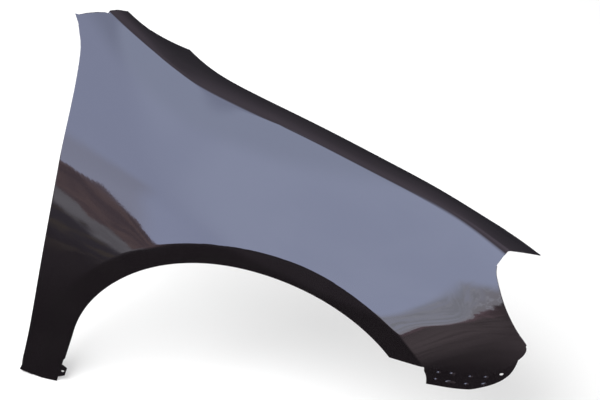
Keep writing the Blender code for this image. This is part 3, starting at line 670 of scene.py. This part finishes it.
class Pressing:
    """The whole sheet: outer skin, strip beside the bonnet and every return flange."""

    def __init__(self):
        self.layout = Layout()
        self.patches = []
        self.holes = []
        self.skin, self.ridge_row = self.layout.skin()
        self.patches.append(self.skin)
        self.draw_strip()
        self.fold_arch()
        self.fold_rear()
        self.fold_rail()
        self.fold_front()

    def draw_strip(self):
        crease, low, top = strip_lines(self.layout)
        start = strip_point(low[:, 0], low[:, 1])
        below = self.skin[self.layout.at_summit:self.layout.at_lamp + 1, -1]
        s = np.linspace(0.0, 1.0, count(2.0 * CREASE_R, PITCH_ROUND) + 1)[:, None]
        self.rounding = np.stack([(1.0 - s) ** 2 * a + 2.0 * s * (1.0 - s) * c + s ** 2 * b
                                  for a, c, b in zip(below, crease, start)])
        width = length_of(top - low)
        bend = np.minimum(BEND_R / width, HORN_BEND_SHARE)
        first = np.where(np.arange(len(low)) < len(crease), 0.0, bend)
        rows = np.linspace(0.0, 1.0, count(width.max(), PITCH_STRIP) + 1)
        across = part_way(first[:, None], 1.0 - bend[:, None], rows)[..., None]
        plan = part_way(low[:, None], top[:, None], across)
        self.strip = strip_point(plan[..., 0], plan[..., 1])
        self.patches += [self.rounding, self.strip]

    def fold(self, rim, neighbour, sections):
        self.patches.append(fold(rim, neighbour, sections))
        return self.patches[-1]

    def level(self, rows, stations, at, length):
        """Lays a flange flat over a length, so that a bolt seats on it."""
        ends = [nearest(stations, at + side * length) for side in (-0.5, 0.5)]
        flatten(rows, min(ends), max(ends), -2)

    def drill(self, rows, stations, at, across, size):
        """Marks a hole; gives its place and the flange's run there."""
        point, normal, run = spot(rows, stations, at, across)
        self.holes.append((point, normal, size))
        return point, run

    def fold_arch(self):
        lay = self.layout
        first = lay.mark(LIP_FROM_Z)
        rim = slice(lay.count - 1, first - 1, -1)
        lip = self.fold(self.skin[rim, 0], self.skin[rim, 1],
                        bent((90.0, BEND_R, ARCH_LIP, 1)))
        for degrees in LINER_HOLES_DEG:
            self.drill(lip, lay.degrees[rim], degrees, HOLE_ACROSS, LINER_HOLE)

        first, last = lay.mark(FOOT_TAB_FROM_Z), lay.mark(FOOT_TAB_TO_Z)
        rim = slice(last, first - 1, -1)
        middle = (lay.reach[first] + lay.reach[last]) / 2.0
        width = tab_width(lay.reach[rim], middle, lay.reach[last] - lay.reach[first],
                          FOOT_RAMP, FOOT_TAB_START, FOOT_TAB)
        tab = self.fold(self.skin[rim, 0], self.skin[rim, 1],
                        [bent((0.0, 0.0, w, 1)) for w in width])
        self.drill(tab, lay.reach[rim], middle, FOOT_HOLE_ACROSS, FOOT_HOLE)

    def fold_rear(self):
        lay = self.layout
        rim = slice(self.ridge_row + RIDGE_ROWS, -1)
        sill = self.fold(self.skin[0, rim], self.skin[1, rim],
                         bent((90.0, BEND_R, SILL_RETURN, 1)))
        flatten(sill, 0, len(sill) - 1, -2)
        across = length_of(sill[:, 0] - sill[0, 0])
        self.drill(sill, across, across[-1] / 2.0, SILL_HOLE_ACROSS, SILL_HOLE)

        z = lay.door
        rim = slice(nearest(z, z[0] + CORNER_RELIEF), nearest(z, z[-1] - CORNER_RELIEF) + 1)
        width = np.full(len(z[rim]), DOOR_RETURN)
        for at in DOOR_TABS_Z:
            width = np.maximum(width, tab_width(z[rim], at, DOOR_TAB_LENGTH, TAB_RAMP,
                                                DOOR_RETURN, DOOR_TAB))
        turn = turn_to_press(self.skin[rim, -1], self.skin[rim, -2])
        edge = self.skin[rim, -1]
        sections = [bent((t, BEND_R, w, 1)) for t, w in zip(turn, width)]
        door = self.fold(edge, self.skin[rim, -2], run_out(edge, sections))
        for at in DOOR_TABS_Z:
            self.level(door, z[rim], at, DOOR_TAB_LENGTH - 2.0 * TAB_RAMP)
            self.drill(door, z[rim], at, TAB_HOLE_ACROSS, BOLT_HOLE)

        # The pillar's return stops short of the crease
        section = bent((90.0, BEND_R, PILLAR_RETURN, 1))
        pillar = slice(lay.at_corner + 1, lay.at_summit)
        edge = self.skin[pillar, -1]
        self.fold(edge, self.skin[pillar, -2], run_out(edge, section))
        edge = self.strip[0, :-1]
        self.fold(edge, self.strip[1, :-1], run_out(edge, section))

    def fold_rail(self):
        x = self.layout.crease
        rim = slice(nearest(x, RAIL_FROM_X), nearest(x, RAIL_TO_X) + 1)
        section = bent((90.0, BEND_R, RAIL_DEPTH, 1), (-90.0, JOGGLE_R, RAIL_WIDTH, 1))
        rail = self.fold(self.strip[rim, -1], self.strip[rim, -2], section)
        for number, at in enumerate(RAIL_BOLTS):
            self.level(rail, x[rim], at, PAD_LENGTH)
            point, run = self.drill(rail, x[rim], at, HOLE_ACROSS, BOLT_HOLE)
            if number == RAIL_ORIGIN_BOLT:
                self.seat = point + run * PAD_MOUNT_OFFSET

    def fold_front(self):
        lay = self.layout
        run = lay.lamp
        end = nearest(run, lay.lamp_length - LAMP_RETURN_END)
        rim = slice(lay.at_lamp + 1, lay.at_lamp + 2 + end)
        run = run[:end + 1]
        width = tab_width(run, LAMP_TAB_AT, LAMP_TAB_LENGTH, TAB_RAMP, LAMP_RETURN, LAMP_TAB)
        turn = turn_to_press(self.skin[rim, -1], self.skin[rim, -2])
        lamp = self.fold(self.skin[rim, -1], self.skin[rim, -2],
                         [bent((t + LAMP_UNDERCUT, BEND_R, w, 1)) for t, w in zip(turn, width)])
        self.level(lamp, run, LAMP_TAB_AT, LAMP_TAB_LENGTH - 2.0 * TAB_RAMP)
        self.drill(lamp, run, LAMP_TAB_AT, TAB_HOLE_ACROSS, LAMP_HOLE)

        rim = slice(-2, self.ridge_row + RIDGE_ROWS - 1, -1)
        edge = self.skin[-1, rim]
        from_tip = length_of(edge - self.skin[-1, -1])
        from_ridge = length_of(edge - self.skin[-1, self.ridge_row])
        full = part_way(BUMPER_FLANGE_REAR, BUMPER_FLANGE_FRONT,
                        from_ridge / (from_ridge + from_tip))
        front = np.clip(from_tip / BUMPER_FRONT_TAPER, 0.0, 1.0) ** BUMPER_FRONT_CURVE
        rear = np.clip(BUMPER_REAR_START + from_ridge / BUMPER_REAR_TAPER, 0.0, 1.0)
        width = full * np.minimum(front, rear)
        flange = self.fold(edge, self.skin[-2, rim],
                           [bent((BUMPER_JOGGLE_TURN, JOGGLE_R, BUMPER_JOGGLE, 1),
                                 (-BUMPER_JOGGLE_TURN, JOGGLE_R, w, 1)) for w in width])
        run = unit(np.gradient(edge, axis=0))
        slant = BUMPER_SLANT * np.clip(1.0 - from_ridge / BUMPER_SLANT_LENGTH, 0.0, None) ** 2
        lean = slant[:, None] * length_of(flange - flange[:, :1])
        flange -= lean[..., None] * run[:, None]
        self.drill(flange, from_tip, BUMPER_HOLE_FROM_TIP, HOLE_ACROSS, BUMPER_HOLE)
        self.stamps = [(spot(flange, from_tip, at, across), length, width)
                       for at, across, length, width in PIPS]


# Blender objects
def add_object(name, data):
    thing = bpy.data.objects.new(name, data)
    bpy.context.scene.collection.objects.link(thing)
    return thing


def add_mesh(name, work):
    """New object made of the faces gathered so far."""
    data = bpy.data.meshes.new(name)
    work.to_mesh(data)
    work.free()
    return add_object(name, data)


def add_quads(work, grid):
    """Faces between the rows of a grid of vertices."""
    for low, high in zip(grid, grid[1:]):
        for j in range(len(low) - 1):
            work.faces.new((low[j], high[j], high[j + 1], low[j + 1]))


def joined_sheet(patches):
    """One open sheet from the patches, joined along their common edges, facing outward."""
    sheet = bmesh.new()
    for points in patches:
        add_quads(sheet, [[sheet.verts.new(p) for p in row] for row in points])
    bmesh.ops.remove_doubles(sheet, verts=sheet.verts, dist=JOIN_WITHIN)
    bmesh.ops.recalc_face_normals(sheet, faces=sheet.faces)
    if max(sheet.faces, key=lambda f: f.calc_area()).normal.y > 0.0:
        bmesh.ops.reverse_faces(sheet, faces=sheet.faces)
    return sheet


def hole_cutter(holes):
    """All the punches in one mesh: a short round bar through each hole."""
    bars = bmesh.new()
    for point, normal, size in holes:
        turn = Vector((0.0, 0.0, 1.0)).rotation_difference(Vector(normal)).to_matrix().to_4x4()
        bmesh.ops.create_cone(bars, cap_ends=True, segments=HOLE_SIDES, radius1=size / 2.0,
                              radius2=size / 2.0, depth=PUNCH_LENGTH,
                              matrix=Matrix.Translation(Vector(point)) @ turn)
    return add_mesh("punches", bars)


def stamp(data, stamps):
    """Adds the low round pips that are pressed up out of a flange."""
    mesh = bmesh.new()
    mesh.from_mesh(data)
    around = [2.0 * pi * k / PIP_SIDES for k in range(PIP_SIDES)]
    for (point, normal, run), half_length, half_width in stamps:
        out = -normal if normal[1] > 0.0 else normal
        across = np.cross(out, run)
        rings = []
        for level in (pi / 2.0 * k / PIP_RINGS for k in range(PIP_RINGS)):
            centre = point + out * (PIP_HEIGHT * sin(level) - PIP_SUNK)
            rings.append([mesh.verts.new(centre + (run * half_length * cos(a)
                                                   + across * half_width * sin(a)) * cos(level))
                          for a in around])
        for low, high in zip(rings, rings[1:]):
            for k in range(PIP_SIDES):
                mesh.faces.new((low[k - 1], low[k], high[k], high[k - 1]))
        top = mesh.verts.new(point + out * (PIP_HEIGHT - PIP_SUNK))
        for k in range(PIP_SIDES):
            mesh.faces.new((rings[-1][k - 1], rings[-1][k], top))
    mesh.to_mesh(data)
    mesh.free()


def shade(data):
    """Smooth shading, with the edges that turn further than SHARP_DEG left sharp."""
    work = bmesh.new()
    work.from_mesh(data)
    for face in work.faces:
        face.smooth = True
    for edge in work.edges:
        edge.smooth = len(edge.link_faces) == 2 and edge.calc_face_angle() < radians(SHARP_DEG)
    work.to_mesh(data)
    work.free()


def bake(thing):
    """Puts what an object's modifiers make of its mesh in place of that mesh."""
    graph = bpy.context.evaluated_depsgraph_get()
    data = bpy.data.meshes.new_from_object(thing.evaluated_get(graph))
    thing.modifiers.clear()
    thing.data = data


def fender(pressing):
    """The finished panel: sheet thickness and punched holes made real in one mesh."""
    panel = add_mesh("fender_skin", joined_sheet(pressing.patches))
    thickness = panel.modifiers.new("sheet", "SOLIDIFY")
    thickness.thickness = SHEET
    thickness.offset = -1.0
    thickness.use_even_offset = True
    thickness.use_rim = True
    cutter = hole_cutter(pressing.holes)
    punch = panel.modifiers.new("holes", "BOOLEAN")
    punch.operation = "DIFFERENCE"
    punch.solver = "EXACT"
    punch.object = cutter
    bake(panel)
    bpy.data.objects.remove(cutter)
    stamp(panel.data, pressing.stamps)
    panel.data.transform(Matrix.Translation(-Vector(pressing.seat)))
    shade(panel.data)
    even = panel.modifiers.new("normals", "WEIGHTED_NORMAL")
    even.keep_sharp = True
    bake(panel)
    return panel


# Materials
class Nodes:
    """Short names for building a node tree."""

    def __init__(self, owner):
        owner.use_nodes = True
        self.tree = owner.node_tree
        self.tree.nodes.clear()

    def feed(self, socket, value):
        """Links a socket, or gives it a value; colours are written as red, green, blue."""
        if isinstance(value, bpy.types.NodeSocket):
            self.tree.links.new(value, socket)
        elif socket.type == "RGBA":
            socket.default_value = (*value, 1.0)
        else:
            socket.default_value = value

    def add(self, kind, **inputs):
        """New shader node with some of its inputs, by name, with _ for a space."""
        node = self.tree.nodes.new("ShaderNode" + kind)
        for name, value in inputs.items():
            self.feed(node.inputs[name.replace("_", " ")], value)
        return node

    def wire(self, node, *values):
        """Feeds a node's inputs in their order, and gives its first output."""
        for socket, value in zip(node.inputs, values):
            self.feed(socket, value)
        return node.outputs[0]

    def math(self, operation, *values):
        node = self.add("Math")
        node.operation = operation
        return self.wire(node, *values)

    def times(self, a, b):
        return self.math("MULTIPLY", a, b)

    def less(self, a, b):
        return self.math("SUBTRACT", a, b)

    def noise(self, vector, scale, detail, roughness):
        return self.add("TexNoise", Vector=vector, Scale=scale, Detail=detail,
                        Roughness=roughness).outputs[0]

    def ramp(self, factor, stops):
        node = self.add("ValToRGB")
        ramp = node.color_ramp
        while len(ramp.elements) < len(stops):
            ramp.elements.new(0.5)
        for element, (place, colour) in zip(ramp.elements, stops):
            element.position = place
            element.color = (*colour, 1.0)
        return self.wire(node, factor)

    def curve(self, factor, points):
        """Smooth curve through points whose two values both run from 0 to 1."""
        node = self.add("FloatCurve", Value=factor)
        line = node.mapping.curves[0]
        while len(line.points) < len(points):
            line.points.new(0.5, 0.5)
        for point, place in zip(line.points, points):
            point.location = place
            point.handle_type = "AUTO_CLAMPED"
        node.mapping.update()
        return node.outputs[0]

    def soft(self, value, low, high):
        """0 below the first value, 1 above the second, eased between them."""
        node = self.add("MapRange")
        node.interpolation_type = "SMOOTHSTEP"
        return self.wire(node, value, low, high)

    def stretch(self, vector, scale):
        return self.add("Mapping", Vector=vector, Scale=scale).outputs[0]

    def lay(self, under, over, field, start, full, strength=None):
        """One colour laid over another: not at all where the field is at start, wholly at full."""
        share = self.soft(field, start, full)
        if strength is not None:
            share = self.times(share, strength)
        node = self.add("Mix")
        node.data_type = "RGBA"
        for number, value in ((0, share), (6, under), (7, over)):
            self.feed(node.inputs[number], value)
        return node.outputs[2]


def new_material(name, shader, *details):
    """Material with the shader node that a function makes."""
    material = bpy.data.materials.new(name)
    n = Nodes(material)
    n.add("OutputMaterial", Surface=shader(n, *details).outputs[0])
    return material


def gloss_black(n):
    """Black enamel under clear lacquer: faint orange peel and a slight wave in the sheet."""
    place = n.add("TexCoord").outputs["Object"]
    smear = n.noise(n.stretch(place, SMEAR_STRETCH), *SMEAR_CELLS)
    peel = n.add("Bump", Strength=1.0, Distance=PEEL_DEPTH,
                 Height=n.noise(place, *PEEL_CELLS))
    wave = n.add("Bump", Strength=1.0, Distance=WAVE_DEPTH,
                 Height=n.noise(place, *WAVE_CELLS), Normal=peel.outputs[0]).outputs[0]
    return n.add("BsdfPrincipled", Base_Color=n.ramp(n.noise(place, *ENAMEL_CELLS), ENAMEL),
                 Roughness=n.math("MULTIPLY_ADD", smear, SMEAR_ROUGHNESS, ENAMEL_ROUGHNESS),
                 Specular_IOR_Level=0.5, Coat_Weight=1.0, Coat_Roughness=COAT_ROUGHNESS,
                 Coat_IOR=COAT_IOR, Normal=wave, Coat_Normal=wave)


def floor_white(n):
    place = n.add("TexCoord").outputs["Object"]
    return n.add("BsdfPrincipled", Base_Color=n.ramp(n.noise(place, *FLOOR_CELLS), FLOOR_WHITE),
                 Roughness=FLOOR_ROUGHNESS, Specular_IOR_Level=0.0)


def glow(n, paint):
    """Light of the colour that paint works out."""
    return n.add("Emission", Color=paint(n))


# Surroundings that the gloss shows
class CardPlace:
    """Place on a card, measured from the middle of the dome: right, front, up and turn."""

    def __init__(self, n):
        self.place = n.add("TexCoord").outputs["Object"]
        axes = n.add("SeparateXYZ", Vector=self.place).outputs
        self.right = n.less(axes["X"], DOME_X)
        self.front = n.less(DOME_Y, axes["Y"])
        self.up = n.less(axes["Z"], FLOOR_Z)
        self.turn = n.math("DEGREES", n.math("ARCTAN2", self.right, self.front))


def horizon(n, turn, points):
    """Height of a line of the surroundings at each turn."""
    share = n.math("MULTIPLY_ADD", turn, 0.5 / TURN_LIMIT, 0.5)
    line = n.curve(share, [(0.5 * t / TURN_LIMIT + 0.5, height + 0.5) for t, height in points])
    return n.less(line, 0.5)


def sky_colour(n, turn, height, place, depth, lines):
    """Bluish, dimmer toward the left and overhead, with haze over the skyline."""
    sky = n.lay(SKY_LEFT, SKY_RIGHT, turn, start=-17.0, full=-5.0)
    high = n.lay(HIGH_LEFT, HIGH_RIGHT, turn, start=-18.0, full=-13.0)
    sky = n.lay(sky, high, height, start=0.70, full=0.78)
    sky = n.lay(sky, CLOUD, n.noise(place, *CLOUD_CELLS), start=0.42, full=0.66, strength=0.30)

    # A slanted patch of haze on the left
    slanted = n.math("MULTIPLY_ADD", n.less(height, PATCH_FOOT), PATCH_SLANT, turn)
    low = n.times(n.soft(height, *PATCH_TOP), PATCH_STRENGTH)
    sky = n.lay(sky, HAZE_PATCH, slanted, start=-20.0, full=-23.0, strength=low)

    # Streaks of haze on the right
    streaks = n.lay(HAZE_DULL, HAZE_CLEAR, lines, start=0.36, full=0.64)
    streaks = n.lay(streaks, HAZE_LOW, depth, start=-0.10, full=0.0)
    thread = n.math("ABSOLUTE", n.less(lines, 0.5))
    streaks = n.lay(streaks, HAZE_THREAD, thread, start=0.035, full=0.0)
    above = n.less(height, horizon(n, turn, HAZE))
    fade = n.math("MULTIPLY_ADD", n.soft(turn, *FADE_TURN), FADE_LESS, -FADE)
    return n.lay(streaks, sky, above, start=fade, full=0.012)


def ground_colour(n, turn, height, depth, lines, from_streak):
    """Brown near the skyline and dark close by, with one pale streak on the left."""
    right = n.lay(RIGHT_EDGE, RIGHT_BROWN, depth, start=0.015, full=0.08)
    right = n.lay(right, RIGHT_FAR, turn, start=46.0, full=56.0)
    right = n.lay(right, RIGHT_DARK, lines, start=0.44, full=0.62, strength=0.5)

    left = n.lay(LEFT_BROWN, LEFT_DARK, lines, start=0.38, full=0.58)
    left = n.lay(LEFT_EDGE, left, depth, start=0.0, full=0.03)
    pale = n.lay(PALE_STREAK, DULL_STREAK, lines, start=0.40, full=0.60, strength=0.45)
    left = n.lay(pale, left, from_streak, start=0.022, full=0.042)
    below = n.lay(MIDDLE_DARK, BELOW_STREAK, from_streak, start=-0.24, full=-0.10)
    near = n.soft(from_streak, -0.30, -0.12)
    below = n.lay(below, BELOW_LINES, lines, start=0.50, full=0.58, strength=near)
    left = n.lay(below, left, from_streak, start=-0.06, full=-0.02)

    ground = n.lay(left, MIDDLE_DARK, turn, start=-24.0, full=-20.0)
    ground = n.lay(ground, right, turn, start=34.0, full=43.0)
    return n.lay(CLOSE_BY, ground, height, start=-0.50, full=-0.24)


def scenery(n, turn, height, place):
    """Colour of the surroundings, by turn and height."""
    uneven = n.less(n.noise(place, *UNEVEN_CELLS), 0.5)
    sway = n.times(uneven, n.soft(turn, *SWAY_TURN))
    shaky = n.math("MULTIPLY_ADD", sway, SWAY, turn)
    skyline = n.math("MULTIPLY_ADD", uneven, UNEVEN, horizon(n, shaky, SKYLINE))
    depth = n.less(skyline, height)
    from_streak = n.less(height, horizon(n, shaky, STREAK))

    # Lines that follow the skyline
    drop = n.less(horizon(n, turn, SKYLINE), height)
    along = n.add("CombineXYZ", X=n.times(turn, LINES_ALONG),
                  Y=n.times(drop, LINES_ACROSS)).outputs[0]
    lines = n.noise(along, *LINE_CELLS)

    sky = sky_colour(n, turn, height, place, depth, lines)
    ground = ground_colour(n, turn, height, depth, lines, from_streak)
    return n.lay(sky, ground, depth, start=-0.008, full=0.008)


def sky_paint(n):
    at = CardPlace(n)
    height = n.times(n.math("ARCSINE", n.math("DIVIDE", at.up, DOME_R)), 2.0 / pi)
    ahead = n.math("ADD", at.front, horizon(n, at.turn, OVERHEAD))
    bright = scenery(n, at.turn, height, at.place)
    return n.lay(bright, DULL_OVERHEAD, ahead, start=0.06, full=-0.05)


def ground_paint(n):
    at = CardPlace(n)
    squares = [n.times(side, side) for side in (at.right, at.front)]
    away = n.math("SQRT", n.math("ADD", *squares))
    height = n.math("MULTIPLY_ADD", away, 1.0 / DOME_R, -1.0)
    return scenery(n, at.turn, height, at.place)


def rear_paint(n):
    """Behind the fender: dull, lighter overhead and darker toward the back."""
    at = CardPlace(n)
    drift = n.less(n.noise(n.stretch(at.place, DRIFT_STRETCH), *DRIFT_CELLS), 0.5)
    back = n.less(n.times(drift, DRIFT), at.front)
    return n.ramp(back, REAR_DULL)


# Studio
def reflector(name, shape, paint):
    """A card that only shows in the gloss of the paint."""
    card = add_mesh(name, shape)
    card.data.materials.append(new_material(name, glow, paint))
    card.visible_camera = False
    card.visible_diffuse = False
    card.visible_transmission = False
    card.visible_volume_scatter = False
    card.visible_shadow = False


def dome(radius, from_deg, to_deg):
    """Part of half a sphere that stands on the floor, facing its centre."""
    work = bmesh.new()
    rows = []
    for i in range(DOME_ROWS + 1):
        up = pi / 2.0 * i / DOME_ROWS
        turns = [radians(part_way(from_deg, to_deg, j / DOME_COLUMNS))
                 for j in range(DOME_COLUMNS + 1)]
        rows.append([work.verts.new((DOME_X + radius * cos(up) * sin(turn),
                                     DOME_Y - radius * cos(up) * cos(turn),
                                     FLOOR_Z + radius * sin(up))) for turn in turns])
    add_quads(work, rows)
    return work


def disc(centre, radius):
    work = bmesh.new()
    bmesh.ops.create_circle(work, cap_ends=True, segments=DISC_SIDES, radius=radius,
                            matrix=Matrix.Translation(centre))
    return work


def build_stage():
    floor = add_mesh("floor", disc((0.0, 0.0, FLOOR_Z), FLOOR_R))
    floor.data.materials.append(new_material("pale_floor", floor_white))

    reflector("sky_card", dome(DOME_R, -SKY_TURN, SKY_TURN), sky_paint)
    reflector("rear_card", dome(DOME_R * REAR_LARGER, SKY_TURN, 360.0 - SKY_TURN), rear_paint)
    reflector("ground_card", disc((DOME_X, DOME_Y, FLOOR_Z + CARD_LIFT), DOME_R), ground_paint)


def build_light():
    world = bpy.data.worlds.new("studio")
    bpy.context.scene.world = world
    n = Nodes(world)
    back = n.add("Background", Color=WORLD_GREY, Strength=1.0)
    n.add("OutputWorld", Surface=back.outputs[0])

    lamp = bpy.data.lights.new("key", "AREA")
    lamp.shape = "RECTANGLE"
    lamp.size, lamp.size_y = KEY_SIZE
    lamp.energy = KEY_WATTS
    key = add_object("key", lamp)
    key.location = KEY_AT
    key.rotation_euler = (KEY_AIM - KEY_AT).to_track_quat("-Z", "Y").to_euler()
    key.visible_glossy = False


def build_camera():
    """The photograph's view: a long lens, in front and above, rolled to the right."""
    turn, tilt, roll = (radians(angle) for angle in CAMERA_TURN_TILT_ROLL)
    back = Vector((sin(turn) * cos(tilt), -cos(turn) * cos(tilt), sin(tilt)))
    level = (-back).cross(Vector((0.0, 0.0, 1.0))).normalized()
    above = level.cross(-back)
    right = level * cos(roll) + above * sin(roll)
    up = above * cos(roll) - level * sin(roll)
    camera = add_object("camera", bpy.data.cameras.new("camera"))
    camera.matrix_world = Matrix.Translation(CAMERA_AT) @ Matrix(
        (right, up, back)).transposed().to_4x4()
    camera.data.sensor_width = CAMERA_SENSOR
    camera.data.lens = CAMERA_LENS
    camera.data.clip_end = CAMERA_FAR
    bpy.context.scene.camera = camera


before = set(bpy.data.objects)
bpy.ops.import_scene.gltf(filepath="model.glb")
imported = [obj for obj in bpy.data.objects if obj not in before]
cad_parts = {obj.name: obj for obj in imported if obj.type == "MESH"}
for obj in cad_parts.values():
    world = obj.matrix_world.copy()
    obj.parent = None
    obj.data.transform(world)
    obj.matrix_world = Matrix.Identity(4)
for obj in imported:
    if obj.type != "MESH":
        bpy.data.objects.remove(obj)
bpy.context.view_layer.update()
bpy.context.scene.view_settings.view_transform = "Standard"

skin = fender(Pressing())
skin.data.materials.clear()
skin.data.materials.append(new_material("black_paint", gloss_black))
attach(skin, "root")
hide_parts("fender_panel")

build_stage()
build_light()
build_camera()
